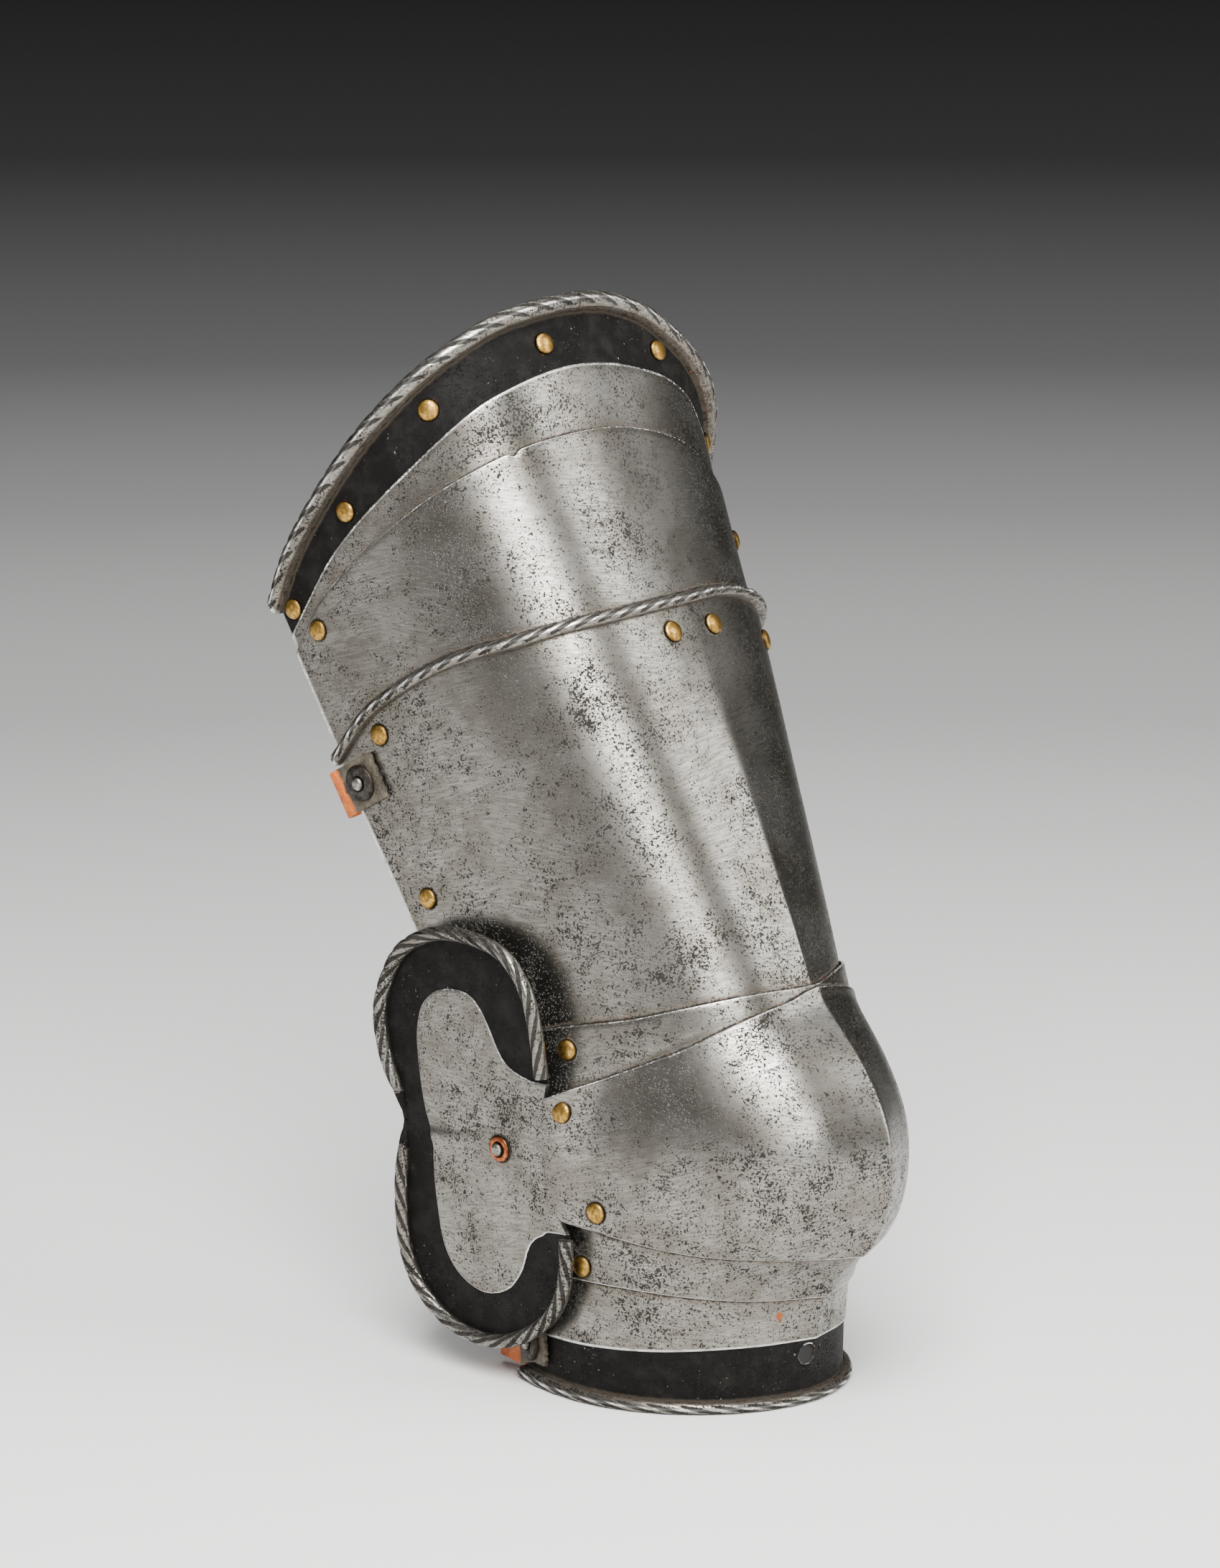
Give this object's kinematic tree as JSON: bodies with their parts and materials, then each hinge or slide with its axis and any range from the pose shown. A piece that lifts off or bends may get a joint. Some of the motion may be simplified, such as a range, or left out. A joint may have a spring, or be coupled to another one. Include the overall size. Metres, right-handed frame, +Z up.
{
  "type": "cuisse with poleyn",
  "caption": "Right leg thigh and knee armour of grey steel sheet: laminated cuisse and winged poleyn with roped, dark-banded edges, brass rivets and leather strap stubs.",
  "frame": {"origin": "middle of the whole piece's box in plan, on the surface that its foot edge stands on", "axes": "+X to the front of the knee, +Y to the inner side of the leg, +Z up"},
  "size_m": [0.2522, 0.1828, 0.4333],
  "materials": {
    "plate_steel": "forged sheet, ground by hand, pitted, with dark sunken borders",
    "brass": "worn domed heads",
    "copper": "worn copper washer",
    "dark_steel": "dark patinated washer",
    "fastener_steel": "plain stud",
    "leather": "thick tanned strap leather"
  },
  "bodies": {
    "bottom_lame": {"bottom_lame": "plate_steel", "calf_strap": "leather", "calf_strap_washer": "dark_steel", "calf_strap_washer_stud": "fastener_steel"},
    "lower_lame": {"lower_knee_lame": "plate_steel", "knee_rivet_4_outer": "brass", "knee_rivet_4_inner": "brass"},
    "poleyn": {"poleyn": "plate_steel", "copper_washer": "copper", "copper_washer_stud": "fastener_steel", "knee_rivet_2_outer": "brass", "knee_rivet_2_inner": "brass", "knee_rivet_3_outer": "brass", "knee_rivet_3_inner": "brass"},
    "upper_lame": {"upper_knee_lame": "plate_steel", "knee_rivet_1_outer": "brass", "knee_rivet_1_inner": "brass"},
    "cuisse": {"main_plate": "plate_steel", "upper_plate": "plate_steel", "main_rivet_1": "brass", "main_rivet_2": "brass", "main_rivet_3": "brass", "main_rivet_4": "brass", "main_rivet_5": "brass", "upper_rivet_outer": "brass", "upper_rivet_inner": "brass", "thigh_strap": "leather", "thigh_strap_washer": "dark_steel", "thigh_strap_washer_stud": "fastener_steel"},
    "top_plate": {"top_plate": "plate_steel", "band_rivet_1": "brass", "band_rivet_2": "brass", "band_rivet_3": "brass", "band_rivet_4": "brass", "band_rivet_5": "brass", "band_rivet_6": "brass"}
  },
  "joints": [
    {"name": "lower_lame_turn", "type": "hinge", "parent": "bottom_lame", "child": "lower_lame", "pos_m": [0.02179, 0.00521, 0.05551], "axis": [0.0002, -1, -0.0002], "range_deg": [-3, 6]},
    {"name": "poleyn_turn", "type": "hinge", "parent": "lower_lame", "child": "poleyn", "pos_m": [0.03168, 0.00513, 0.07917], "axis": [0.0002, -1, 0], "range_deg": [-5, 6]},
    {"name": "upper_lame_turn", "type": "hinge", "parent": "poleyn", "child": "upper_lame", "pos_m": [0.0195, 0.00519, 0.11837], "axis": [0.0011, -1, 0.0006], "range_deg": [-1, 8]},
    {"name": "cuisse_turn", "type": "hinge", "parent": "upper_lame", "child": "cuisse", "pos_m": [0.01413, 0.00541, 0.1411], "axis": [0.0002, -1, 0], "range_deg": [-3, 5]},
    {"name": "top_plate_tip", "type": "hinge", "parent": "cuisse", "child": "top_plate", "pos_m": [-0.05864, -0.00719, 0.31365], "axis": [-0.491, -0.8531, -0.1763], "range_deg": [0, 2.5]}
  ]
}
